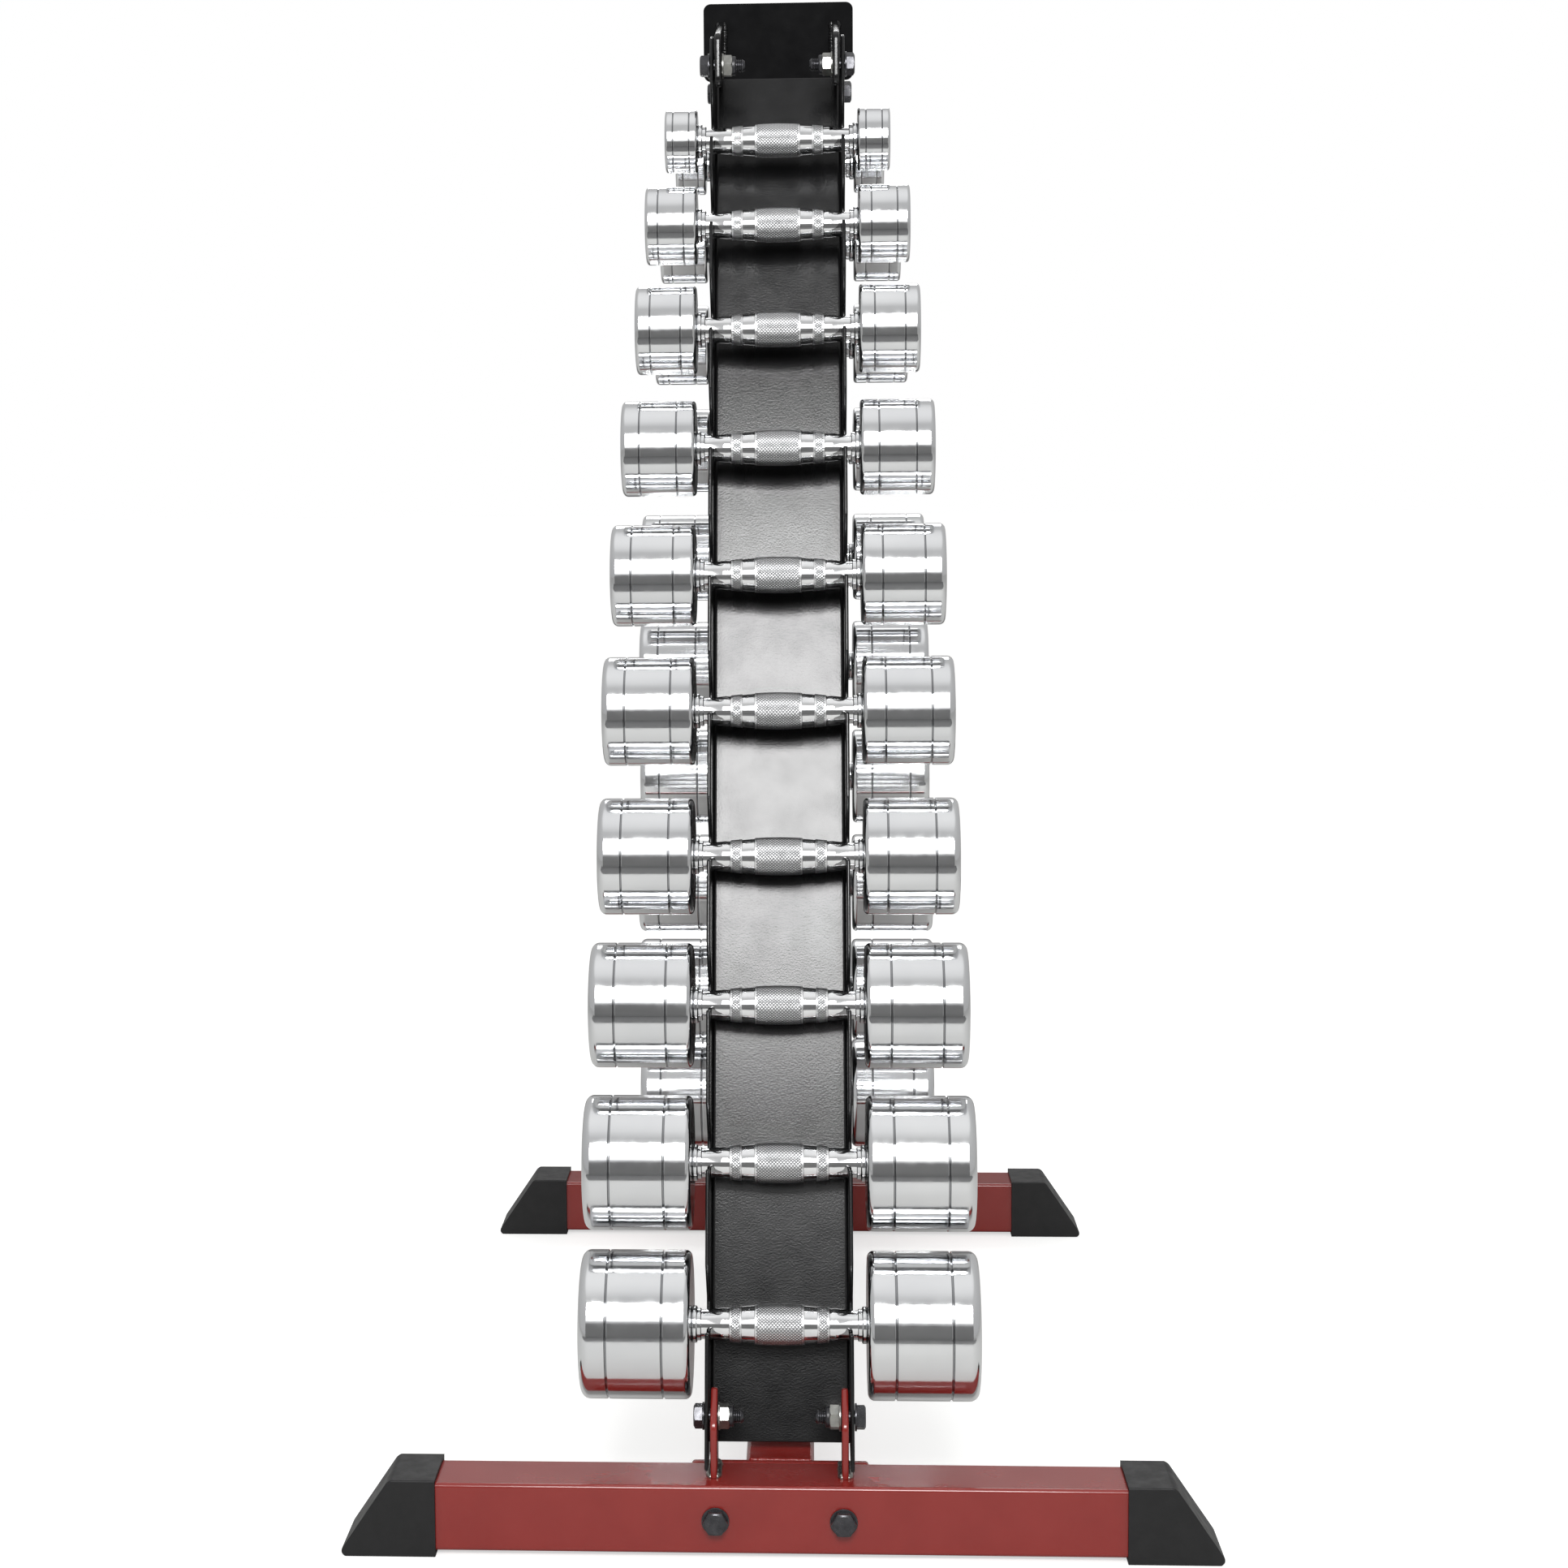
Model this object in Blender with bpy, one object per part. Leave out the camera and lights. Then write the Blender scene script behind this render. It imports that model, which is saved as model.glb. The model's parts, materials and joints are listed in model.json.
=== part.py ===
"""A-frame dumbbell rack with two leaning columns of hooks, two square-tube feet and twenty steel dumbbells."""

import math

import bmesh
import bpy
from mathutils import Vector

MM = 0.001
GAP = 0.3 * MM  # clearance between pieces that touch on the real rack

# Square-tube base
TUBE = 50 * MM
TUBE_WALL = 3 * MM
TUBE_CORNER = 3 * MM
CAP_WALL = 3.2 * MM  # the rubber cap goes over the tube
CAP_TOE = 68.5 * MM  # how far a cap reaches past its own inner edge along the floor
CAP_HEAD = 32 * MM  # the same along its top
CAP_NOSE = 5 * MM
CAP_SOCKET = 28 * MM  # how far the tube goes into the cap
FRONT_TUBE_SHOWN = 496 * MM  # bare tube between its two caps
REAR_TUBE_SHOWN = 452 * MM
BASE_DEPTH = 891 * MM  # from the front foot's front face to the rear foot's back face
TUBE_LOW = CAP_WALL
TUBE_TOP = TUBE_LOW + TUBE
FOOT_Y = BASE_DEPTH / 2 - TUBE / 2  # centre line of either foot

# End plates of the base beam, and the bolts that go through each foot into them
END_PLATE = 5 * MM
END_PLATE_WIDTH = 130 * MM
FOOT_BOLT_X = 46 * MM
FOOT_BOLT_Z = 28 * MM

# Columns: U channels bent from sheet, open side outwards, leaning towards each other
LEAN = math.radians(17.8)
SHEET = 3 * MM
BEND = 6 * MM  # outer radius of the folds
CHANNEL_WIDTH = 108.5 * MM
CHANNEL_DEPTH = 60 * MM
COLUMN_START_Y = 5.4 * MM  # how far in front of the foot's front face the flange edge would meet the floor
COLUMN_FOOT_Z = 59.6 * MM
FLANGE_TOP = 1185.7 * MM  # along the column
WEB_TOP = 1174 * MM
FIRST_HOOK = 160 * MM
HOOK_PITCH = [step * MM for step in (118, 118, 114, 114, 109, 104, 99, 89, 73)]  # lowest first

# One hook slot, seen from the side: depth into the flange and height above the hook's tip
POCKET_RADIUS = 16 * MM
POCKET_DEPTH = 21 * MM
POCKET_HEIGHT = 10.7 * MM
POCKET_FIRST = math.radians(222)
POCKET_STEPS = 6
BACK_CORNER = 6 * MM
BACK_CORNER_HEIGHT = 21 * MM
MOUTH_SLOPE = math.radians(57)
PAST = 4 * MM  # how far a cutter runs past what it cuts

# Lugs, top plate and the M10 bolts of the columns
LUG = 5 * MM
LUG_OUTER_X = 50 * MM
LUG_FRONT = 15.5 * MM  # behind the foot's front face
LUG_BACK = 49.5 * MM
LOW_BOLT = (11 * MM, 100.9 * MM)  # depth into the flange, height along the column
TOP_BOLT = (11 * MM, 1163.1 * MM)
PLATE_WIDTH = 125 * MM
PLATE_LOW = 1103 * MM
PLATE_TOP = 1167 * MM
PLATE_THICK = 4 * MM
PLATE_CORNER = 6 * MM
SHANK_RADIUS = 5 * MM
HOLE_RADIUS = 5.5 * MM
HEX_RADIUS = 9.24 * MM  # to the corners, for 16 mm across flats
HEAD_HEIGHT = 6.4 * MM
WASHER = 1.6 * MM  # space left under each bolt head and nut
NUT_HEIGHT = 10 * MM
COLUMN_BOLT_LENGTH = 30 * MM
FOOT_BOLT_LENGTH = 72 * MM
ROUND = 12  # sides of a shank, a hole and a dumbbell

# Dumbbells, heaviest first
HEAD_DIAMETER = [size * MM for size in (108, 100, 94, 89, 84, 79, 75, 70, 62, 50)]
HEAD_WIDTH = [size * MM for size in (81, 80, 77, 72, 70, 65, 58, 48, 41, 26)]
HEAD_SPACING = 129 * MM
OUTER_EDGE = 7 * MM
INNER_EDGE = 5 * MM
COLLAR_RADIUS = 13.5 * MM
COLLAR_WIDTH = 4 * MM
NECK_WIDTH = 4 * MM
GRIP_END_RADIUS = (10.7 * MM, 9.3 * MM)  # heaviest, lightest
GRIP_MIDDLE_RADIUS = (15 * MM, 13.5 * MM)


def material(name, colour, roughness, metallic=0.0):
    made = bpy.data.materials.new(name)
    made.use_nodes = True
    shader = made.node_tree.nodes["Principled BSDF"]
    shader.inputs["Base Color"].default_value = (*colour, 1.0)
    shader.inputs["Roughness"].default_value = roughness
    shader.inputs["Metallic"].default_value = metallic
    made.diffuse_color = (*colour, 1.0)
    return made


def finish(name, shape, made_of, smooth=False):
    """A bmesh becomes a named object with its normals outwards."""
    bmesh.ops.recalc_face_normals(shape, faces=shape.faces)
    mesh = bpy.data.meshes.new(name)
    shape.to_mesh(mesh)
    shape.free()
    if smooth:
        mesh.shade_smooth()
        mesh.set_sharp_from_angle(angle=math.radians(35))
    if made_of is not None:
        mesh.materials.append(made_of)
    thing = bpy.data.objects.new(name, mesh)
    bpy.context.scene.collection.objects.link(thing)
    return thing


def extrude(shape, points, step):
    """A closed prism: the outline through points, pushed along step."""
    face = shape.faces.new([shape.verts.new(p) for p in points])
    grown = bmesh.ops.extrude_face_region(shape, geom=[face], use_keep_orig=True)
    moved = [v for v in grown["geom"] if isinstance(v, bmesh.types.BMVert)]
    bmesh.ops.translate(shape, verts=moved, vec=step)


def arc(centre, radius, start, end, steps):
    """Points on an arc in a plane, both ends included."""
    angles = [start + (end - start) * i / steps for i in range(steps + 1)]
    return [(centre[0] + radius * math.cos(a), centre[1] + radius * math.sin(a)) for a in angles]


def rounded_rectangle(width, height, radius, steps=2):
    """Outline of a rectangle about the origin with round corners."""
    across, up = width / 2 - radius, height / 2 - radius
    corners = [(across, up), (-across, up), (-across, -up), (across, -up)]
    points = []
    for i, corner in enumerate(corners):
        points += arc(corner, radius, i * math.pi / 2, (i + 1) * math.pi / 2, steps)
    return points


def cut(thing, *cutters):
    for cutter in cutters:
        cutter.hide_render = True
        cutter.display_type = "WIRE"
        boolean = thing.modifiers.new("cut", "BOOLEAN")
        boolean.operation = "DIFFERENCE"
        boolean.object = cutter


def rod_cutter(name, centre, axis, length, radius):
    """A round cutter about centre, along axis."""
    shape = bmesh.new()
    bmesh.ops.create_cone(
        shape, cap_ends=True, segments=ROUND, radius1=radius, radius2=radius, depth=length
    )
    turn = Vector((0, 0, 1)).rotation_difference(axis).to_matrix()
    bmesh.ops.rotate(shape, verts=shape.verts, matrix=turn)
    bmesh.ops.translate(shape, verts=shape.verts, vec=centre)
    return finish(name, shape, None)


def close_pipe(shape, rings):
    """Faces between the four loops of a pipe: outer and inner at one end, then outer and inner at the other."""
    low_outer, low_inner, high_outer, high_inner = rings
    pairs = [(low_outer, low_inner), (high_outer, high_inner)]
    pairs += [(low_outer, high_outer), (low_inner, high_inner)]
    for first, second in pairs:
        for i in range(len(first)):
            j = (i + 1) % len(first)
            shape.faces.new((first[i], first[j], second[j], second[i]))


def square_tube(name, length, along_x, centre, made_of):
    """A hollow square tube, open at both ends."""
    shape = bmesh.new()
    outer = rounded_rectangle(TUBE, TUBE, TUBE_CORNER)
    inner = rounded_rectangle(TUBE - 2 * TUBE_WALL, TUBE - 2 * TUBE_WALL, TUBE_CORNER / 2)
    rings = []
    for end in (-length / 2, length / 2):
        for outline in (outer, inner):
            places = [(end, a, b) if along_x else (a, end, b) for a, b in outline]
            rings.append([shape.verts.new(Vector(p) + centre) for p in places])
    close_pipe(shape, rings)
    return finish(name, shape, made_of)


def foot_cap(name, side, foot_y, shown, made_of):
    """A rubber wedge that goes over the end of a foot tube. side is -1 left, 1 right."""
    inner_x = side * shown / 2
    half = TUBE / 2 + CAP_WALL
    top = TUBE_TOP + CAP_WALL
    side_view = [(0, 0), (CAP_TOE - 2 * MM, 0), (CAP_TOE, 2 * MM), (CAP_TOE, CAP_NOSE)]
    side_view += [(CAP_HEAD + 3 * MM, top - 2 * MM), (CAP_HEAD, top), (0, top)]
    shape = bmesh.new()
    outline = [(inner_x + side * x, foot_y - half, z) for x, z in side_view]
    extrude(shape, outline, Vector((0, 2 * half, 0)))
    cap = finish(name, shape, made_of)
    room = TUBE + 2 * GAP
    socket = bmesh.new()
    bmesh.ops.create_cube(socket, size=1)
    bmesh.ops.scale(socket, verts=socket.verts, vec=(CAP_SOCKET + PAST, room, room))
    middle = inner_x + side * (CAP_SOCKET - PAST) / 2
    bmesh.ops.translate(socket, verts=socket.verts, vec=(middle, foot_y, TUBE_LOW + TUBE / 2))
    cut(cap, finish(name + "_socket", socket, None))
    return cap


def base_beam(made_of):
    length = BASE_DEPTH - 2 * TUBE - 2 * END_PLATE - 4 * GAP
    return square_tube("base_beam", length, False, Vector((0, 0, TUBE_LOW + TUBE / 2)), made_of)


def end_plate(name, side, made_of):
    """The plate on one end of the base beam, flat against the inner face of a foot. side is -1 front, 1 rear."""
    outline = rounded_rectangle(END_PLATE_WIDTH, TUBE, TUBE_CORNER)
    start = side * (BASE_DEPTH / 2 - TUBE - GAP)
    shape = bmesh.new()
    places = [(x, start, z + TUBE_LOW + TUBE / 2) for x, z in outline]
    extrude(shape, places, Vector((0, -side * END_PLATE, 0)))
    return finish(name, shape, made_of)


def foot_bolt_holes(side):
    """Cutters for the two bolts through one foot."""
    return [
        rod_cutter(
            f"foot_hole_{side}_{x_side}",
            Vector((x_side * FOOT_BOLT_X, side * FOOT_Y, FOOT_BOLT_Z)),
            Vector((0, 1, 0)),
            3 * TUBE,
            HOLE_RADIUS,
        )
        for x_side in (-1, 1)
    ]


def hook_heights():
    """Height of each hook's tip along the column, lowest first."""
    heights = [FIRST_HOOK]
    for pitch in HOOK_PITCH:
        heights.append(heights[-1] + pitch)
    return heights


def slot_outline(tip):
    """One slot cut through the flanges, as (depth, height along the column)."""
    points = [(-PAST, tip - 7 * MM), (0.5 * MM, tip - 0.9 * MM), (2 * MM, tip)]
    points += [(8.2 * MM, tip)]
    pocket = (POCKET_DEPTH, tip + POCKET_HEIGHT)
    points += arc(pocket, POCKET_RADIUS, POCKET_FIRST + math.radians(4), 2 * math.pi, POCKET_STEPS)
    corner = (POCKET_DEPTH + POCKET_RADIUS - BACK_CORNER, tip + BACK_CORNER_HEIGHT)
    points += arc(corner, BACK_CORNER, 0, MOUTH_SLOPE, 2)
    depth, height = points[-1]
    run = depth + PAST
    points += [(-PAST, height + run / math.tan(MOUTH_SLOPE))]
    return points


def channel(name, made_of):
    """One column in its own frame: x across, y into the column from the flange edges, z along it."""
    half = CHANNEL_WIDTH / 2
    fold = (half - BEND, CHANNEL_DEPTH - BEND)
    outer = [(half, 0)] + arc(fold, BEND, 0, math.pi / 2, 3)
    inner = arc(fold, BEND - SHEET, math.pi / 2, 0, 3) + [(half - SHEET, 0)]
    right = outer + [(-x, y) for x, y in reversed(outer)]
    section = right + [(-x, y) for x, y in reversed(inner)] + inner
    low = [(x, y, (COLUMN_FOOT_Z + y * math.sin(LEAN)) / math.cos(LEAN)) for x, y in section]
    shape = bmesh.new()
    bottom = [shape.verts.new(p) for p in low]
    top = [shape.verts.new((x, y, FLANGE_TOP)) for x, y in section]
    count = len(section)
    shape.faces.new(bottom)
    shape.faces.new(top)
    for i in range(count):
        j = (i + 1) % count
        shape.faces.new((bottom[i], bottom[j], top[j], top[i]))
    column = finish(name, shape, made_of)
    slots = bmesh.new()
    for tip in hook_heights():
        outline = [(-half - PAST, y, z) for y, z in slot_outline(tip)]
        extrude(slots, outline, Vector((2 * (half + PAST), 0, 0)))
    cutters = [finish(name + "_slots", slots, None)]
    corners = bmesh.new()
    relief = CHANNEL_DEPTH - BEND
    above = FLANGE_TOP + PAST
    behind = CHANNEL_DEPTH + PAST
    trims = [
        [(relief, WEB_TOP), (behind, WEB_TOP), (behind, above), (relief, above)],
        [(-PAST, FLANGE_TOP - 8 * MM), (8 * MM, above), (-PAST, above)],
    ]
    for trim in trims:
        outline = [(-half - PAST, y, z) for y, z in trim]
        extrude(corners, outline, Vector((2 * (half + PAST), 0, 0)))
    cutters.append(finish(name + "_trim", corners, None))
    for depth, height in (LOW_BOLT, TOP_BOLT):
        place = Vector((0, depth, height))
        across = CHANNEL_WIDTH + 2 * PAST
        hole = f"{name}_hole_{height:.2f}"
        cutters.append(rod_cutter(hole, place, Vector((1, 0, 0)), across, HOLE_RADIUS))
    cut(column, *cutters)
    return [column, *cutters]


def stand_up(things, side):
    """Turns a piece made in a column's frame into its place. side is -1 for the front column, 1 for the rear."""
    for thing in things:
        thing.rotation_euler = (-LEAN, 0, 0 if side < 0 else math.pi)
        thing.location = (0, side * (BASE_DEPTH / 2 + COLUMN_START_Y), 0)


def in_place(depth, height, side):
    """World y and z of a point given in a column's own depth and height."""
    forward = -(BASE_DEPTH / 2 + COLUMN_START_Y) + height * math.sin(LEAN) + depth * math.cos(LEAN)
    return -side * forward, height * math.cos(LEAN) - depth * math.sin(LEAN)


def lug(name, x_side, y_side, side_view, bolt, made_of):
    """A plate standing in the y-z plane inside a flange, with one bolt hole. side_view is for the front."""
    start = x_side * LUG_OUTER_X
    shape = bmesh.new()
    extrude(shape, [(start, -y_side * y, z) for y, z in side_view], Vector((-x_side * LUG, 0, 0)))
    made = finish(name, shape, made_of)
    y, z = in_place(*bolt, y_side)
    middle = Vector((start - x_side * LUG / 2, y, z))
    cut(made, rod_cutter(name + "_hole", middle, Vector((1, 0, 0)), LUG + 2 * PAST, HOLE_RADIUS))
    return made


def base_lug_view():
    """A base lug from the side: square at the back, cut off at its upper front corner."""
    front = -BASE_DEPTH / 2 + LUG_FRONT
    back = -BASE_DEPTH / 2 + LUG_BACK
    low, high = TUBE_TOP + GAP, 112 * MM
    nose = arc((front + 9 * MM, 88 * MM), 9 * MM, math.pi, math.radians(120), 2)
    crown = arc((back - 8 * MM, high - 8 * MM), 8 * MM, math.radians(110), 0, 3)
    return [(front, low), *nose, *crown, (back, low)]


def top_lug_view():
    """A top lug from the side: it widens from its bolt end towards the plate, and passes over the web."""
    front = in_place(*TOP_BOLT, -1)[0] - 18 * MM
    back = -PLATE_THICK / 2 - GAP
    round_low = arc((front + 8 * MM, 1094 * MM), 8 * MM, math.pi * 1.5, math.pi, 2)
    round_high = arc((front + 8 * MM, 1121 * MM), 8 * MM, math.pi, math.radians(103), 2)
    return [(back, 1118 * MM), *round_low, *round_high, (back, 1152 * MM)]


def top_plate(made_of):
    outline = rounded_rectangle(PLATE_WIDTH, PLATE_TOP - PLATE_LOW, PLATE_CORNER, 3)
    middle = (PLATE_TOP + PLATE_LOW) / 2
    shape = bmesh.new()
    places = [(x, -PLATE_THICK / 2, z + middle) for x, z in outline]
    extrude(shape, places, Vector((0, PLATE_THICK, 0)))
    return finish("top_plate", shape, made_of)


def turned(shape, rings, sides, turn=0.0):
    """A solid turned about x from (x, radius) rings, closed with a flat face at each end."""
    made = []
    for x, radius in rings:
        angles = [turn + 2 * math.pi * i / sides for i in range(sides)]
        made.append([shape.verts.new((x, radius * math.cos(a), radius * math.sin(a))) for a in angles])
    for first, second in zip(made, made[1:]):
        for i in range(sides):
            j = (i + 1) % sides
            shape.faces.new((first[i], first[j], second[j], second[i]))
    shape.faces.new(made[0])
    shape.faces.new(made[-1])


def hex_bolt(name, length, place, heading, made_of):
    """A bolt whose head starts one washer's thickness outside place. heading is the way its shank points."""
    shape = bmesh.new()
    hexagon = []
    for x in (-WASHER - HEAD_HEIGHT, -WASHER):
        angles = [math.pi * i / 3 for i in range(6)]
        hexagon.append([(x, HEX_RADIUS * math.cos(a), HEX_RADIUS * math.sin(a)) for a in angles])
    rings = []
    for x in (-WASHER, length - WASHER):
        angles = [2 * math.pi * i / ROUND for i in range(ROUND)]
        rings.append([(x, SHANK_RADIUS * math.cos(a), SHANK_RADIUS * math.sin(a)) for a in angles])
    outer, under = ([shape.verts.new(p) for p in ring] for ring in hexagon)
    near, far = ([shape.verts.new(p) for p in ring] for ring in rings)
    shape.faces.new(outer)
    shape.faces.new(far)
    for first, second in ((outer, under), (near, far)):
        for i in range(len(first)):
            j = (i + 1) % len(first)
            shape.faces.new((first[i], first[j], second[j], second[i]))
    bridge = []
    for ring in (under, near):
        bridge += [shape.edges.get((ring[i - 1], ring[i])) for i in range(len(ring))]
    bmesh.ops.bridge_loops(shape, edges=bridge)
    bolt = finish(name, shape, made_of)
    bolt.rotation_euler = Vector((1, 0, 0)).rotation_difference(heading).to_euler()
    bolt.location = place
    return bolt


def nut(name, place, heading, made_of):
    """A nut on a bolt: its outer end lies one washer's thickness from place, and it grows along heading."""
    shape = bmesh.new()
    loops = []
    for x in (WASHER, WASHER + NUT_HEIGHT):
        for radius in (HEX_RADIUS, SHANK_RADIUS + 2 * GAP):
            angles = [2 * math.pi * i / ROUND for i in range(ROUND)]
            flat = HEX_RADIUS * math.cos(math.pi / 6)
            reach = [radius if i % 2 == 0 or radius < flat else flat for i in range(ROUND)]
            turned_to = zip(reach, angles)
            loops.append([shape.verts.new((x, r * math.cos(a), r * math.sin(a))) for r, a in turned_to])
    close_pipe(shape, loops)
    made = finish(name, shape, made_of)
    made.rotation_euler = Vector((1, 0, 0)).rotation_difference(heading).to_euler()
    made.location = place
    return made


def between(pair, step):
    """A value between the heaviest dumbbell's and the lightest's."""
    return pair[0] + (pair[1] - pair[0]) * step / (len(HEAD_DIAMETER) - 1)


def dumbbell_rest(step):
    """Depth and height, in a column's own frame, of the axis of a dumbbell lying in its pocket."""
    flat = POCKET_RADIUS * math.cos((2 * math.pi - POCKET_FIRST) / (2 * POCKET_STEPS))
    drop = flat - between(GRIP_END_RADIUS, step) - GAP
    tip = hook_heights()[step]
    return POCKET_DEPTH + drop * math.sin(LEAN), tip + POCKET_HEIGHT - drop * math.cos(LEAN)


def dumbbell(name, step, y_side, made_of):
    radius = HEAD_DIAMETER[step] / 2
    inner = HEAD_SPACING / 2
    outer = inner + HEAD_WIDTH[step]
    grip_end = between(GRIP_END_RADIUS, step)
    half = [
        (outer, radius - OUTER_EDGE),
        (outer - OUTER_EDGE * 0.7, radius),
        (inner + INNER_EDGE * 0.7, radius),
        (inner, radius - INNER_EDGE),
        (inner, COLLAR_RADIUS),
        (inner - COLLAR_WIDTH, COLLAR_RADIUS),
        (inner - COLLAR_WIDTH - NECK_WIDTH, grip_end),
    ]
    middle = [(0, between(GRIP_MIDDLE_RADIUS, step))]
    shape = bmesh.new()
    turned(shape, half + middle + [(-x, r) for x, r in reversed(half)], ROUND)
    made = finish(name, shape, made_of, smooth=True)
    y, z = in_place(*dumbbell_rest(step), y_side)
    made.location = (0, y, z)
    return made


def main():
    for thing in list(bpy.data.objects):
        bpy.data.objects.remove(thing)
    red = material("red_powder_coat", (0.26, 0.035, 0.03), 0.35)
    black = material("black_powder_coat", (0.018, 0.018, 0.019), 0.45)
    rubber = material("black_rubber", (0.03, 0.03, 0.032), 0.6)
    oxide = material("black_oxide_steel", (0.03, 0.03, 0.032), 0.4, 0.8)
    zinc = material("zinc_plated_steel", (0.6, 0.6, 0.58), 0.35, 1.0)
    chrome = material("hard_chrome", (0.75, 0.75, 0.76), 0.06, 1.0)

    for end, y_side, shown in (("front", -1, FRONT_TUBE_SHOWN), ("rear", 1, REAR_TUBE_SHOWN)):
        centre = Vector((0, y_side * FOOT_Y, TUBE_LOW + TUBE / 2))
        length = shown + 2 * (CAP_SOCKET - GAP)
        tube = square_tube(f"{end}_foot_tube", length, True, centre, red)
        plate = end_plate(f"{end}_end_plate", y_side, red)
        holes = foot_bolt_holes(y_side)
        cut(tube, *holes)
        cut(plate, *holes)
        stand_up(channel(f"{end}_column", black), y_side)
        for hand, x_side in (("left", -1), ("right", 1)):
            foot_cap(f"{end}_{hand}_foot_cap", x_side, y_side * FOOT_Y, shown, rubber)
            place = Vector((x_side * FOOT_BOLT_X, y_side * (BASE_DEPTH / 2 + GAP), FOOT_BOLT_Z))
            hex_bolt(f"{end}_{hand}_foot_bolt", FOOT_BOLT_LENGTH, place, Vector((0, -y_side, 0)), oxide)
            lug(f"{end}_{hand}_base_lug", x_side, y_side, base_lug_view(), LOW_BOLT, red)
            lug(f"{end}_{hand}_top_lug", x_side, y_side, top_lug_view(), TOP_BOLT, black)
            for level, bolt in (("base", LOW_BOLT), ("top", TOP_BOLT)):
                y, z = in_place(*bolt, y_side)
                inwards = Vector((-x_side, 0, 0))
                outside = Vector((x_side * (CHANNEL_WIDTH / 2 + GAP), y, z))
                inside = Vector((x_side * (LUG_OUTER_X - LUG - GAP), y, z))
                hex_bolt(f"{end}_{hand}_{level}_bolt", COLUMN_BOLT_LENGTH, outside, inwards, oxide)
                nut(f"{end}_{hand}_{level}_nut", inside, inwards, zinc)
        for step in range(len(HEAD_DIAMETER)):
            dumbbell(f"{end}_dumbbell_{len(HEAD_DIAMETER) - step:02d}", step, y_side, chrome)
    base_beam(red)
    top_plate(black)


main()
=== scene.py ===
"""Looks of the dumbbell rack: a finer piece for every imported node, finishes, light and camera."""

import json
import math

import bmesh
import bpy
from mathutils import Matrix, Vector, noise

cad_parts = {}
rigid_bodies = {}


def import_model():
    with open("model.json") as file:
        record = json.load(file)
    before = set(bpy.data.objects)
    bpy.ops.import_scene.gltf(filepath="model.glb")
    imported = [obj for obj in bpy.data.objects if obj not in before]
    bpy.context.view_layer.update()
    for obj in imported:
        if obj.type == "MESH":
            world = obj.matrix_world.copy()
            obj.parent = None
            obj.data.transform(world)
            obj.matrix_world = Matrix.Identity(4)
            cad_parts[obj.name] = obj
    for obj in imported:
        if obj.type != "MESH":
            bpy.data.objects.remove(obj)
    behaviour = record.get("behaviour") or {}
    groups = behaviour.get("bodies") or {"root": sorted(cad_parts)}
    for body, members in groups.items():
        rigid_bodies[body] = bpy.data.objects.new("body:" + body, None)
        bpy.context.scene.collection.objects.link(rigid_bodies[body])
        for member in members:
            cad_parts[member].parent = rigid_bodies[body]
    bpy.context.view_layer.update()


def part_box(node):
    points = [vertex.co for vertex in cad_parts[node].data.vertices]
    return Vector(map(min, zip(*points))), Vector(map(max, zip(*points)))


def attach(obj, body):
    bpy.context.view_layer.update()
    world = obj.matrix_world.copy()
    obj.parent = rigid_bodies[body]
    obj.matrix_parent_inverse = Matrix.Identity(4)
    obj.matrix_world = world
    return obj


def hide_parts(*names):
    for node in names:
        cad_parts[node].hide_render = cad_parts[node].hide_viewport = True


for thing in list(bpy.data.objects):
    bpy.data.objects.remove(thing)
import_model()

MM = 0.001
GAP = 0.3 * MM
ENDS = (("front", -1), ("rear", 1))
HANDS = (("left", -1), ("right", 1))
X_AXIS = Vector((1, 0, 0))

# Base, as packed
TUBE = 50 * MM
TUBE_WALL = 3 * MM
TUBE_CORNER = 3 * MM
TUBE_LOW = 3.2 * MM
TUBE_TOP = TUBE_LOW + TUBE
TUBE_SHOWN = {"front": 496 * MM, "rear": 452 * MM}
BASE_DEPTH = 891 * MM
CAP_WALL = 3.2 * MM
CAP_TOE = 68.5 * MM
CAP_HEAD = 32 * MM
CAP_NOSE = 5 * MM
CAP_SOCKET = 28 * MM
CAP_EDGE = 1.3 * MM
CAP_LIP_EDGE = 0.5 * MM
END_PLATE = 5 * MM
END_PLATE_WIDTH = 130 * MM
PLATE_EDGE = 0.7 * MM

# Columns, as packed
LEAN = math.radians(17.8)
SHEET = 3 * MM
BEND = 6 * MM
CHANNEL_WIDTH = 108.5 * MM
CHANNEL_DEPTH = 60 * MM
COLUMN_START_Y = 5.4 * MM
COLUMN_FOOT_Z = 59.6 * MM
FLANGE_TOP = 1185.7 * MM
WEB_TOP = 1174 * MM
FIRST_HOOK = 160 * MM
HOOK_PITCH = [step * MM for step in (118, 118, 114, 114, 109, 104, 99, 89, 73)]
POCKET_RADIUS = 16 * MM
POCKET_DEPTH = 21 * MM
POCKET_HEIGHT = 10.7 * MM
POCKET_FIRST = math.radians(226)
BACK_CORNER = 6 * MM
BACK_CORNER_HEIGHT = 21 * MM
MOUTH_SLOPE = math.radians(57)
SHEET_EDGE = 1.25 * MM
SHARP_EDGE = math.radians(50)  # a column's edges that turn by more than this are softened

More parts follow.
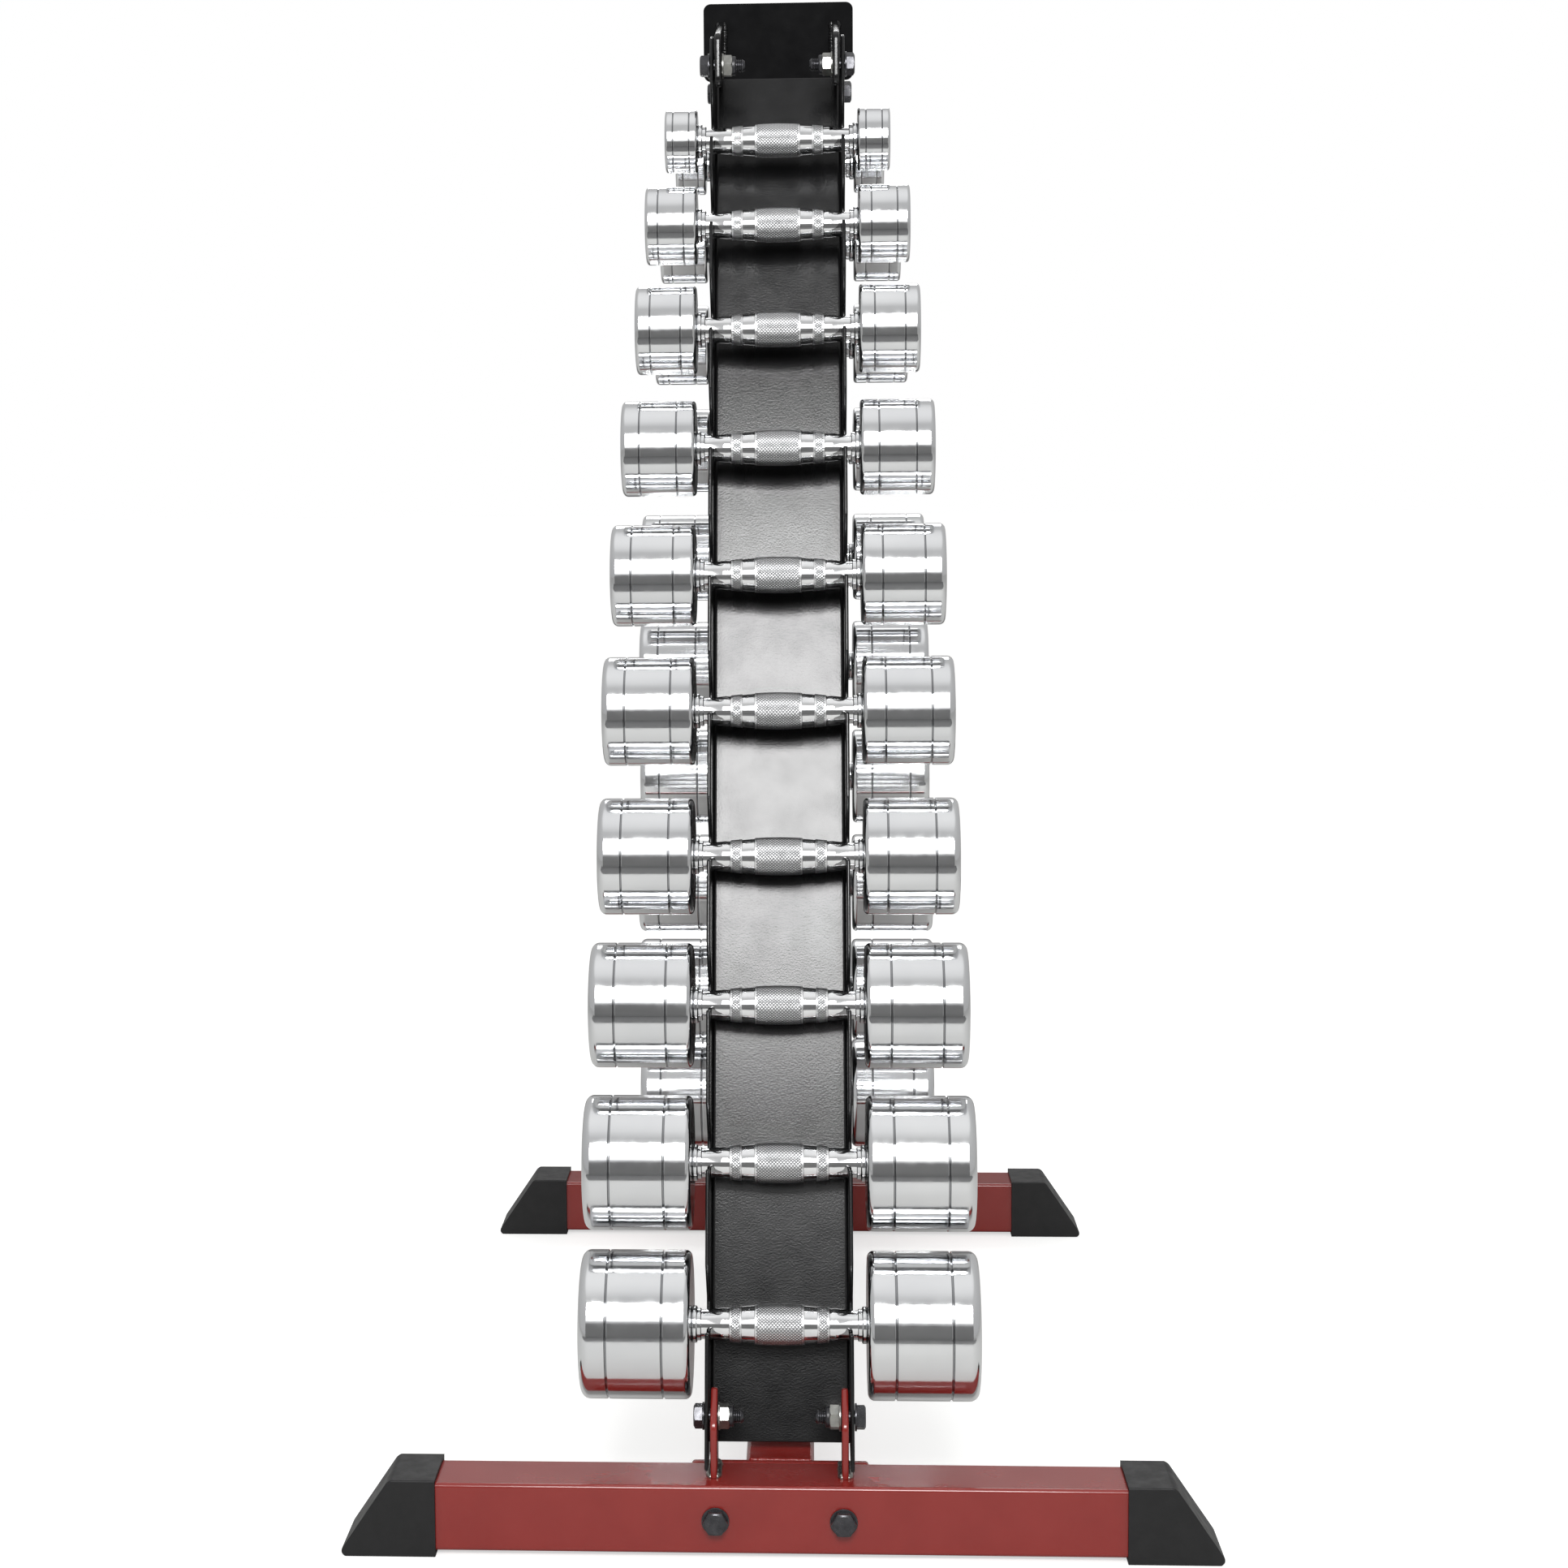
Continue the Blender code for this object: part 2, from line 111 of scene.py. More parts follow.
# Lugs, top plate and fixings, as packed
LUG = 5 * MM
LUG_EDGE = 1.6 * MM
LUG_OUTER_X = 50 * MM
LUG_FRONT = 15.5 * MM
LUG_BACK = 49.5 * MM
BASE_LUG_TOP = 112 * MM
BASE_LUG_NOSE = 88 * MM
TOP_LUG_LOW = 1118 * MM
TOP_LUG_HIGH = 1152 * MM
TOP_LUG_REACH = 18 * MM
ROUND_LOW = 1094 * MM
ROUND_HIGH = 1121 * MM
LOW_BOLT = (11 * MM, 100.9 * MM)
TOP_BOLT = (11 * MM, 1163.1 * MM)
PLATE_WIDTH = 125 * MM
PLATE_LOW = 1103 * MM
PLATE_TOP = 1167 * MM
PLATE_THICK = 4 * MM
PLATE_CORNER = 6 * MM
FOOT_BOLT_X = 46 * MM
FOOT_BOLT_Z = 28 * MM
HEX_RADIUS = 9.24 * MM
HEAD_HEIGHT = 6.4 * MM
CHAMFER = math.radians(30)
CHAMFER_CUTS = 36
CHAMFER_START = 0.88  # of the distance from a hexagon's middle to its flats
WASHER_ROOM = 1.6 * MM
WASHER_RADIUS = 10 * MM
WASHER_THICK = 1.5 * MM
SHANK_RADIUS = 5 * MM
THREAD_PITCH = 1.5 * MM
THREAD_DEPTH = 0.6 * MM
NUT_HEIGHT = 10 * MM
NUT_ROLL = 1.6 * MM
NUT_ROLL_RADIUS = 6.1 * MM
NUT_BORE = 5.4 * MM
COLUMN_BOLT = 30 * MM
FOOT_BOLT = 72 * MM
THREADED = 26 * MM
RIPPLE_PITCH = 2.4 * MM
RIPPLE_STEP = 0.45 * MM

# Dumbbells, heaviest first
HEAD_DIAMETER = [size * MM for size in (108, 100, 94, 89, 84, 79, 75, 70, 62, 50)]
HEAD_WIDTH = [size * MM for size in (81, 80, 77, 72, 70, 65, 58, 48, 41, 26)]
HEAD_INNER_X = 64.5 * MM
OUTER_EDGE = (7.0 * MM, 2.4 * MM)  # heaviest, lightest
INNER_EDGE = (5.0 * MM, 2.0 * MM)
GROOVE_SHARE = 0.25  # of a head's width, from its middle to either groove
GROOVE_HALF = (0.9 * MM, 0.55 * MM)
GROOVE_DEPTH = (1.2 * MM, 0.8 * MM)
COLLAR_RADIUS = 13.5 * MM
COLLAR_WIDTH = 4 * MM
COLLAR_EDGE = 1.1 * MM
COLLAR_BORE = 8 * MM
SHOULDER_RADIUS = 11.8 * MM
SHOULDER_WIDTH = 3 * MM
NECK_WIDTH = 4 * MM
GRIP_END_RADIUS = (10.7 * MM, 9.3 * MM)
GRIP_MIDDLE_RADIUS = (15 * MM, 13.5 * MM)
KNURL_BANDS = ((-36.6, -28.0), (-18.0, 18.0), (28.0, 36.6))  # mm along the handle
KNURL_STEP = 1.3 * MM
KNURL_ROUND = 72
KNURL_DEPTH = 0.24 * MM
KNURL_RISE = 0.5 * MM  # of a knurled band above the polished steel beside it
RELIEF = (38.3, 36.9, 27.7, 23, 18.3)  # mm from the handle's middle to the rings of that lower steel
NECK_RINGS = 7
NECK_FIRST = 56500  # micrometres from the middle of the handle
NECK_STEP = 2600

# Studio, in metres. Stands and dark grounds lie off both ends of the rack, and only gloss shows them.
# The light of the room goes by the sine of its height above the horizon.
ROOM_LIGHT = ((0.0, 0.5), (0.5, 0.55), (0.82, 0.62), (0.93, 0.9), (1.0, 0.9))
FLOOR_SIZE = 80
FLOOR_GLOW = 0.6
STAND_WIDTH = 1.4
STAND_HEIGHT = 0.85
STAND_Y = 2.55
GROUND_WIDTH = 3.0
GROUND_DEPTH = 1.35
GROUND_Y = 1.93
GROUND_Z = 0.001
SOFTBOXES = {  # place, aim, width, height and watts
    "softbox_rim": ((0, -2.5, 1.76), (0, -1.5, 1.76), 1.2, 1.58, 8),
    "softbox_middle": ((0, -2.45, 1.84), (0, -1.45, 1.8), 0.9, 1.02, 62),
    "softbox_back": ((0, 2.7, 2.4), (0, 0, 1.2), 1.3, 0.9, 18),
}

# Camera
SENSOR = 36
FOCAL_SHARE = 3412.7 / 1932  # focal length by the width of the frame
SHIFT = (0.0765, -0.0392)
CAMERA_PLACE = (0.0243, -1.9243 - BASE_DEPTH / 2, 0.7831)
CAMERA_TURNS = ((0.0529, "Z"), (-0.093, "X"), (0.0092, "Y"))

# Sockets of the Mix node, whose names repeat: the share, then both inputs and the output for each kind
MIX_SHARE = 0
MIX_VALUES = (2, 3)
MIX_VALUE = 0
MIX_COLOURS = (6, 7)
MIX_COLOUR = 2


# ---------------------------------------------------------------- finishes


def linear(colour):
    """Blender's linear colour for six sRGB hex figures."""
    made = []
    for i in (0, 2, 4):
        share = int(colour[i : i + 2], 16) / 255
        made.append(share / 12.92 if share <= 0.04045 else ((share + 0.055) / 1.055) ** 2.4)
    return (*made, 1.0)


def add(tree, kind, values=None, links=None, **settings):
    """A shader node with its settings, its socket values and the outputs linked into it."""
    made = tree.nodes.new(kind)
    for key, value in settings.items():
        setattr(made, key, value)
    for socket, value in (values or {}).items():
        made.inputs[socket].default_value = value
    for socket, source in (links or {}).items():
        tree.links.new(source, made.inputs[socket])
    return made


def per_mm(size):
    """Texture scale whose features are about size millimetres across."""
    return 1000 / size


def start_finish(name, **values):
    made = bpy.data.materials.new(name)
    made.use_nodes = True
    tree = made.node_tree
    shader = tree.nodes["Principled BSDF"]
    for socket, value in values.items():
        shader.inputs[socket.replace("_", " ")].default_value = value
    place = add(tree, "ShaderNodeTexCoord").outputs["Object"]
    return made, tree, shader, place


def mottled(tree, place, size, dark, light, detail=3.0):
    """A colour that drifts between two hex colours over patches of size millimetres."""
    patches = add(
        tree,
        "ShaderNodeTexNoise",
        {"Scale": per_mm(size), "Detail": detail, "Roughness": 0.55},
        {"Vector": place},
    )
    ramp = add(tree, "ShaderNodeValToRGB", links={"Fac": patches.outputs["Fac"]})
    ramp.color_ramp.elements[0].position = 0.3
    ramp.color_ramp.elements[0].color = linear(dark)
    ramp.color_ramp.elements[1].position = 0.7
    ramp.color_ramp.elements[1].color = linear(light)
    return ramp.outputs["Color"]


def uneven(tree, place, size, low, high, detail=2.0):
    """A value that drifts between low and high over patches of size millimetres."""
    patches = add(
        tree,
        "ShaderNodeTexNoise",
        {"Scale": per_mm(size), "Detail": detail},
        {"Vector": place},
    )
    spread = add(
        tree,
        "ShaderNodeMapRange",
        {"From Min": 0.3, "From Max": 0.7, "To Min": low, "To Max": high},
        {"Value": patches.outputs["Fac"]},
    )
    return spread.outputs["Result"]


def skin(tree, place, shader, size, depth, detail=2.0):
    """Gives a shader a bumpy skin with lumps size millimetres across and depth millimetres deep."""
    lumps = add(
        tree,
        "ShaderNodeTexNoise",
        {"Scale": per_mm(size), "Detail": detail, "Roughness": 0.5},
        {"Vector": place},
    )
    bump = add(
        tree,
        "ShaderNodeBump",
        {"Strength": 1.0, "Distance": depth * MM},
        {"Height": lumps.outputs["Fac"]},
    )
    tree.links.new(bump.outputs["Normal"], shader.inputs["Normal"])


def shade_grooves(tree, plate, groove_shade):
    """The plate's colour, going over to a darker colour of painted shade in the grooves, where the
    attribute "groove" is 1.
    """
    groove = add(tree, "ShaderNodeAttribute", attribute_name="groove").outputs["Fac"]
    share = add(tree, "ShaderNodeMapRange", {"From Min": 0.45, "From Max": 0.95}, {"Value": groove})
    # Painted shade: the share of the darker groove colour follows the attribute "groove".
    plate_input, shade_input = MIX_COLOURS
    mixed = add(
        tree,
        "ShaderNodeMix",
        {shade_input: linear(groove_shade)},
        {MIX_SHARE: share.outputs["Result"], plate_input: plate},
        data_type="RGBA",
    )
    return mixed.outputs[MIX_COLOUR]


def red_powder_coat():
    # Polyester powder coat: an even brick red with a glossy, slightly rippled skin.
    made, tree, shader, place = start_finish(
        "red_powder_coat", IOR=1.45, Coat_Weight=0.35, Coat_Roughness=0.08
    )
    tree.links.new(mottled(tree, place, 40, "7c1d18", "82221d"), shader.inputs["Base Color"])
    tree.links.new(uneven(tree, place, 25, 0.2, 0.26), shader.inputs["Roughness"])
    skin(tree, place, shader, 2.2, 0.012)
    return made


def black_powder_coat():
    # Textured powder coat: near black, with a fine leathery grain that breaks up its soft sheen.
    # The real grain is about 0.8 mm; it is drawn at 1.3 mm so that it still shows.
    made, tree, shader, place = start_finish("black_powder_coat", IOR=1.45)
    tree.links.new(mottled(tree, place, 30, "0c0c0d", "111112"), shader.inputs["Base Color"])
    tree.links.new(uneven(tree, place, 18, 0.17, 0.22), shader.inputs["Roughness"])
    skin(tree, place, shader, 1.3, 0.085, 3.0)
    return made


def moulded_rubber():
    # Injection-moulded rubber: charcoal, satin, with a faint grain and slightly paler scuffed patches.
    made, tree, shader, place = start_finish("moulded_rubber", IOR=1.42)
    tree.links.new(mottled(tree, place, 14, "131314", "19191a"), shader.inputs["Base Color"])
    tree.links.new(uneven(tree, place, 10, 0.46, 0.58), shader.inputs["Roughness"])
    skin(tree, place, shader, 1.6, 0.05)
    return made


def black_oxide_steel():
    # Black oxide on steel: dark grey, oily sheen, a little uneven.
    made, tree, shader, place = start_finish("black_oxide_steel", Metallic=0.75)
    tree.links.new(mottled(tree, place, 6, "3a3a3d", "4c4c4f"), shader.inputs["Base Color"])
    tree.links.new(uneven(tree, place, 4, 0.22, 0.34), shader.inputs["Roughness"])
    return made


def zinc_plated_steel():
    # Bright zinc plate: pale silver with a soft cloudy passivation.
    made, tree, shader, place = start_finish("zinc_plated_steel", Metallic=1.0)
    tree.links.new(mottled(tree, place, 5, "8d8d8a", "a9a9a4"), shader.inputs["Base Color"])
    tree.links.new(uneven(tree, place, 3, 0.3, 0.42), shader.inputs["Roughness"])
    return made


def nylon_insert():
    # Moulded nylon locking ring: black and satin.
    made, tree, shader, place = start_finish("nylon_insert", IOR=1.53)
    tree.links.new(mottled(tree, place, 3, "17171a", "202024"), shader.inputs["Base Color"])
    tree.links.new(uneven(tree, place, 2, 0.35, 0.45), shader.inputs["Roughness"])
    return made


def hard_chrome():
    # Turned steel with hard chrome plate: a near mirror, with the least waviness left by the turning,
    # and painted shade in the turned grooves, where the attribute "groove" is 1.
    made, tree, shader, place = start_finish("hard_chrome", Metallic=1.0)
    plate = mottled(tree, place, 60, "dcdddf", "e4e5e6")
    # Painted shade: the groove floors get a darker grey than the plate.
    tree.links.new(shade_grooves(tree, plate, "9a9b9d"), shader.inputs["Base Color"])
    tree.links.new(uneven(tree, place, 7, 0.07, 0.135), shader.inputs["Roughness"])
    skin(tree, place, shader, 5.0, 0.008, 2.0)
    return made


def knurled_chrome():
    # The same plate on the handles: polished between the bands, and duller on the cut diamonds, whose
    # grooves are darkened with painted shade. The attribute "knurled" is 1 in a band, and "groove" is 1
    # along its grooves.
    made, tree, shader, place = start_finish("knurled_chrome", Metallic=1.0)
    plate = mottled(tree, place, 8, "e6e7e8", "f0f0f1")
    # Painted shade: the knurl's valleys get a darker grey than the plate.
    tree.links.new(shade_grooves(tree, plate, "6f7072"), shader.inputs["Base Color"])
    knurled = add(tree, "ShaderNodeAttribute", attribute_name="knurled").outputs["Fac"]
    worn = uneven(tree, place, 5, 0.3, 0.38)
    bare, cut = MIX_VALUES
    rough = add(tree, "ShaderNodeMix", {bare: 0.07}, {MIX_SHARE: knurled, cut: worn}, data_type="FLOAT")
    tree.links.new(rough.outputs[MIX_VALUE], shader.inputs["Roughness"])
    return made


def bare_weld():
    # Bare steel weld: silver grey and lumpy, with darker burnt patches.
    made, tree, shader, place = start_finish("bare_weld", Metallic=1.0)
    tree.links.new(mottled(tree, place, 2.5, "77746e", "b9b7b1"), shader.inputs["Base Color"])
    tree.links.new(uneven(tree, place, 1.8, 0.22, 0.45), shader.inputs["Roughness"])
    skin(tree, place, shader, 1.2, 0.2)
    return made


def black_plate_paint():
    # Black paint on the plate at the top: smooth, close to matt and deep black; its gloss is turned
    # almost off, so that it shows darker than the black coat in the same light.
    made, tree, shader, place = start_finish("black_plate_paint", IOR=1.4, Specular_IOR_Level=0.02)
    tree.links.new(mottled(tree, place, 20, "0b0b0c", "101011"), shader.inputs["Base Color"])
    tree.links.new(uneven(tree, place, 12, 0.4, 0.5), shader.inputs["Roughness"])
    skin(tree, place, shader, 1.4, 0.02)
    return made


def pale_floor():
    # Smooth painted floor: pale and matt. Light of its own, for the camera alone, keeps it near white.
    white = (1.0, 1.0, 1.0, 1.0)
    made, tree, shader, place = start_finish("pale_floor", IOR=1.45, Emission_Color=white)
    tree.links.new(mottled(tree, place, 900, "c9c9c7", "cdcdcb"), shader.inputs["Base Color"])
    tree.links.new(uneven(tree, place, 300, 0.55, 0.65), shader.inputs["Roughness"])
    seen = add(tree, "ShaderNodeLightPath").outputs["Is Camera Ray"]
    own = add(tree, "ShaderNodeMath", {1: FLOOR_GLOW}, {0: seen}, operation="MULTIPLY")
    tree.links.new(own.outputs["Value"], shader.inputs["Emission Strength"])
    return made


def studio_board(name, dark, light):
    # Matt grey paint on the stands and on the dark ground: no gleam, only its tone.
    made, tree, shader, place = start_finish(name, Specular_IOR_Level=0.1)
    tree.links.new(mottled(tree, place, 400, dark, light), shader.inputs["Base Color"])
    tree.links.new(uneven(tree, place, 200, 0.8, 0.9), shader.inputs["Roughness"])
    return made


RED = red_powder_coat()
BLACK = black_powder_coat()
RUBBER = moulded_rubber()
OXIDE = black_oxide_steel()
ZINC = zinc_plated_steel()
NYLON = nylon_insert()
CHROME = hard_chrome()
KNURLED = knurled_chrome()
WELD = bare_weld()
PLATE_BLACK = black_plate_paint()
FLOOR = pale_floor()
CARD = studio_board("grey_card", "8f8f8f", "989898")
GROUND = studio_board("dark_ground_paint", "686868", "707070")


# ---------------------------------------------------------------- making pieces


def piece(name, shape, finish, body="rack", stands_for=(), sharp=35, weighted=True):
    """A bmesh becomes a named piece with outward normals that rides on a body."""
    bmesh.ops.remove_doubles(shape, verts=shape.verts, dist=1e-6)
    bmesh.ops.recalc_face_normals(shape, faces=shape.faces)
    mesh = bpy.data.meshes.new(name)
    shape.to_mesh(mesh)
    shape.free()
    mesh.shade_smooth()
    mesh.set_sharp_from_angle(angle=math.radians(sharp))
    mesh.materials.append(finish)
    made = bpy.data.objects.new(name, mesh)
    bpy.context.scene.collection.objects.link(made)
    if weighted:
        even = made.modifiers.new("even_flats", "WEIGHTED_NORMAL")
        even.keep_sharp = True
    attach(made, body)
    if stands_for:
        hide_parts(*stands_for)
    return made


def arc(centre, radius, start, end, steps):
    """Points on an arc in a plane, both ends included."""
    angles = [start + (end - start) * i / steps for i in range(steps + 1)]
    return [(centre[0] + radius * math.cos(a), centre[1] + radius * math.sin(a)) for a in angles]


def rounded_rectangle(width, height, radius, steps):
    across, up = width / 2 - radius, height / 2 - radius
    points = []
    for i, corner in enumerate([(across, up), (-across, up), (-across, -up), (across, -up)]):
        points += arc(corner, radius, i * math.pi / 2, (i + 1) * math.pi / 2, steps)
    return points


def moved_out(grown):
    """The vertices that extrude_face_region made."""
    return [v for v in grown["geom"] if isinstance(v, bmesh.types.BMVert)]


def soften(shape, edges, width, segments=2):
    bmesh.ops.bevel(
        shape,
        geom=list(edges),
        offset=width,
        offset_type="OFFSET",
        segments=segments,
        profile=0.5,
        affect="EDGES",
        material=-1,
        clamp_overlap=True,
    )


def prism(points, step, edge=0.0, segments=2):
    """A closed plate: the outline through points pushed along step, its rims softened by edge."""
    shape = bmesh.new()
    face = shape.faces.new([shape.verts.new(p) for p in points])
    rims = list(face.edges)
    grown = bmesh.ops.extrude_face_region(shape, geom=[face], use_keep_orig=True)
    bmesh.ops.translate(shape, verts=moved_out(grown), vec=step)
    rims += [e for e in grown["geom"] if isinstance(e, bmesh.types.BMEdge)]
    bmesh.ops.recalc_face_normals(shape, faces=shape.faces)
    if edge:
        soften(shape, set(rims), edge, segments)
    return shape


def turned(profile, segments):
    """A closed solid turned about X from (x, radius) points."""
    shape = bmesh.new()
    points = [shape.verts.new((x, 0, radius)) for x, radius in profile]
    edges = [shape.edges.new(pair) for pair in zip(points, points[1:])]
    bmesh.ops.spin(
        shape,
        geom=points + edges,
        cent=(0, 0, 0),
        axis=(1, 0, 0),
        angle=2 * math.pi,
        steps=segments,
        use_merge=True,
    )
    bmesh.ops.remove_doubles(shape, verts=shape.verts, dist=1e-7)
    return shape


def turned_ring(profile, segments):
    """A closed ring turned about X from a closed loop of (x, radius) points."""
    return turned([*profile, profile[0]], segments)


def put(shape, place, heading):
    """Moves a shape made along X to place, pointing along heading."""
    turn = X_AXIS.rotation_difference(heading).to_matrix()
    bmesh.ops.rotate(shape, verts=shape.verts, cent=(0, 0, 0), matrix=turn)
    bmesh.ops.translate(shape, verts=shape.verts, vec=place)
    return shape


def in_place(depth, height, side):
    """World y and z of a point given in a column's own depth and height."""
    forward = -(BASE_DEPTH / 2 + COLUMN_START_Y) + height * math.sin(LEAN) + depth * math.cos(LEAN)
    return -side * forward, height * math.cos(LEAN) - depth * math.sin(LEAN)


def column_frame(side):
    turn = Matrix.Rotation(0 if side < 0 else math.pi, 4, "Z") @ Matrix.Rotation(-LEAN, 4, "X")
    return Matrix.Translation((0, side * (BASE_DEPTH / 2 + COLUMN_START_Y), 0)) @ turn


# ---------------------------------------------------------------- columns


def hook_heights():
    heights = [FIRST_HOOK]
    for pitch in HOOK_PITCH:
        heights.append(heights[-1] + pitch)
    return heights


def slot_edge(tip):
    """The edge of a hook slot from its tip inwards and back out, as (depth, height up the column)."""
    points = arc((2 * MM, tip - 2 * MM), 2 * MM, math.pi, math.pi / 2, 4)
    points += arc((8.4 * MM, tip - 1.5 * MM), 1.5 * MM, math.pi / 2, math.radians(40), 3)
    pocket = (POCKET_DEPTH, tip + POCKET_HEIGHT)
    points += arc(pocket, POCKET_RADIUS, POCKET_FIRST, 2 * math.pi, 20)
    corner = (POCKET_DEPTH + POCKET_RADIUS - BACK_CORNER, tip + BACK_CORNER_HEIGHT)
    points += arc(corner, BACK_CORNER, 0, MOUTH_SLOPE, 5)
    depth, height = points[-1]
    points.append((0, height + depth / math.tan(MOUTH_SLOPE)))
    return points


def foot_height(depth):
    return (COLUMN_FOOT_Z + depth * math.sin(LEAN)) / math.cos(LEAN)


def flange_outline():
    """A flange from the side, starting up its back edge, where the fold begins."""
    back = CHANNEL_DEPTH - BEND
    points = [(back, foot_height(back)), (back, WEB_TOP), (back, FLANGE_TOP)]
    points += [(4 * MM, FLANGE_TOP), (0, FLANGE_TOP - 4 * MM)]
    for tip in reversed(hook_heights()):
        points += reversed(slot_edge(tip))
    points.append((0, foot_height(0)))
    return points


def column(end, side):
    """One U channel with its hook slots, as one folded sheet."""
    shape = bmesh.new()
    outline = flange_outline()
    half = CHANNEL_WIDTH / 2
    fold = (half - BEND, CHANNEL_DEPTH - BEND)
    folds = []
    for hand in (-1, 1):
        skins = []
        for reach in (half, half - SHEET):
            skins.append([shape.verts.new((hand * reach, y, z)) for y, z in outline])
        outer, inner = skins
        shape.faces.new(outer)
        shape.faces.new(inner)
        for i in range(1, len(outline)):
            j = (i + 1) % len(outline)
            shape.faces.new((outer[i], outer[j], inner[j], inner[i]))
        stations = [(outer[0], outer[1], inner[0], inner[1])]
        for i in range(1, 9):
            angle = math.pi / 2 * i / 8
            corners = []
            for radius in (BEND, BEND - SHEET):
                x = fold[0] + radius * math.cos(angle)
                y = fold[1] + radius * math.sin(angle)
                corners.append(shape.verts.new((hand * x, y, foot_height(y))))
                corners.append(shape.verts.new((hand * x, y, WEB_TOP)))
            stations.append(tuple(corners))
        folds.append(stations)
    whole = folds[0] + folds[1][::-1]
    for near, far in zip(whole, whole[1:]):
        low_out, high_out, low_in, high_in = near
        next_low_out, next_high_out, next_low_in, next_high_in = far
        shape.faces.new((low_out, high_out, next_high_out, next_low_out))
        shape.faces.new((low_in, high_in, next_high_in, next_low_in))
        shape.faces.new((low_out, next_low_out, next_low_in, low_in))
        shape.faces.new((high_out, next_high_out, next_high_in, high_in))
    bmesh.ops.recalc_face_normals(shape, faces=shape.faces)
    rims = []
    for edge in shape.edges:
        if len(edge.link_faces) == 2 and edge.calc_face_angle() > SHARP_EDGE:
            along = (edge.verts[0].co - edge.verts[1].co).normalized()
            if abs(along.x) < 0.7 or abs(edge.verts[0].co.y - CHANNEL_DEPTH) < 4 * MM:
                rims.append(edge)
    soften(shape, rims, SHEET_EDGE, 3)
    bmesh.ops.transform(shape, matrix=column_frame(side), verts=shape.verts)
    piece(f"{end}_column_channel", shape, BLACK, stands_for=[f"{end}_column"])


# ---------------------------------------------------------------- base


def square_tube(name, length, along_x, centre, stands_for):
    """A hollow square tube with rounded corners: two outlines at each end, bridged."""
    shape = bmesh.new()
    rings = []
    for end in (-length / 2, length / 2):
        for size, corner in ((TUBE, TUBE_CORNER), (TUBE - 2 * TUBE_WALL, TUBE_CORNER / 2)):
            outline = rounded_rectangle(size, size, corner, 6)
            places = [(end, a, b) if along_x else (a, end, b) for a, b in outline]
            ring = [shape.verts.new(Vector(p) + centre) for p in places]
            rings.append([shape.edges.new((ring[i - 1], ring[i])) for i in range(len(ring))])
    low_outer, low_inner, high_outer, high_inner = rings
    walls = ((low_outer, high_outer), (low_inner, high_inner))
    rims = ((low_outer, low_inner), (high_outer, high_inner))
    for first, second in (*walls, *rims):
        bmesh.ops.bridge_loops(shape, edges=first + second)
    piece(name, shape, RED, stands_for=stands_for)


def foot_cap(end, hand, side, hand_side):
    """A rubber wedge with soft edges, open towards the tube that it goes over."""
    inner = hand_side * TUBE_SHOWN[end] / 2
    foot_y = side * (BASE_DEPTH / 2 - TUBE / 2)
    half = TUBE / 2 + CAP_WALL
    top = TUBE_TOP + CAP_WALL
    view = [(0, 0), (CAP_TOE - 2 * MM, 0), (CAP_TOE, 2 * MM), (CAP_TOE, CAP_NOSE)]
    view += [(CAP_HEAD + 3 * MM, top - 2 * MM), (CAP_HEAD, top), (0, top)]
    shape = bmesh.new()
    corners = [shape.verts.new((inner + hand_side * x, foot_y - half, z)) for x, z in view]
    grown = bmesh.ops.extrude_face_region(shape, geom=[shape.faces.new(corners)], use_keep_orig=True)
    bmesh.ops.translate(shape, verts=moved_out(grown), vec=(0, 2 * half, 0))
    bmesh.ops.recalc_face_normals(shape, faces=shape.faces)

    def at_mouth(part):
        return all(abs(v.co.x - inner) < 1e-6 for v in part.verts)

    rim = set(next(f for f in shape.faces if at_mouth(f)).edges)
    sole = [e for e in shape.edges if all(v.co.z < 1e-6 for v in e.verts)]
    kept = rim.union(sole)
    long_edges = [e for e in shape.edges if e not in kept and e.calc_face_angle() > 0.3]
    soften(shape, long_edges, CAP_EDGE, 3)
    mouth = [f for f in shape.faces if f.calc_area() > 1e-3 and at_mouth(f)]
    bmesh.ops.inset_region(shape, faces=mouth, thickness=CAP_WALL - GAP, use_even_offset=True)
    dug = bmesh.ops.extrude_face_region(shape, geom=mouth)
    bmesh.ops.translate(shape, verts=moved_out(dug), vec=(hand_side * CAP_SOCKET, 0, 0))
    bmesh.ops.delete(shape, geom=mouth, context="FACES_ONLY")
    lip = [e for e in shape.edges if at_mouth(e) and e.calc_face_angle(0) > 0.5]
    soften(shape, lip, CAP_LIP_EDGE, 2)
    name = f"{end}_{hand}_foot_cap"
    piece(name + "_moulding", shape, RUBBER, stands_for=[name])


def weld(name, start, stop, radius, finish, seed):
    """A weld bead from start to stop: a turned rod with ripples, made lumpy."""
    length = (stop - start).length
    count = max(12, int(length / RIPPLE_STEP))
    profile = [(0, 0)]
    for i in range(1, count):
        along = length * i / count
        ripple = 0.86 + 0.14 * abs(math.cos(math.pi * along / RIPPLE_PITCH))
        end_fade = math.sqrt(min(1.0, min(along, length - along) / radius))
        profile.append((along, radius * ripple * end_fade))
    profile.append((length, 0))
    shape = turned(profile, 14)
    for v in shape.verts:
        lump = noise.noise(v.co * 260 + Vector((seed * 7.3, 0, 0)))
        out = Vector((0, v.co.y, v.co.z))
        if out.length > 1e-7:
            v.co += out.normalized() * lump * radius * 0.32
    put(shape, start, (stop - start).normalized())
    piece(name, shape, finish, sharp=70, weighted=False)


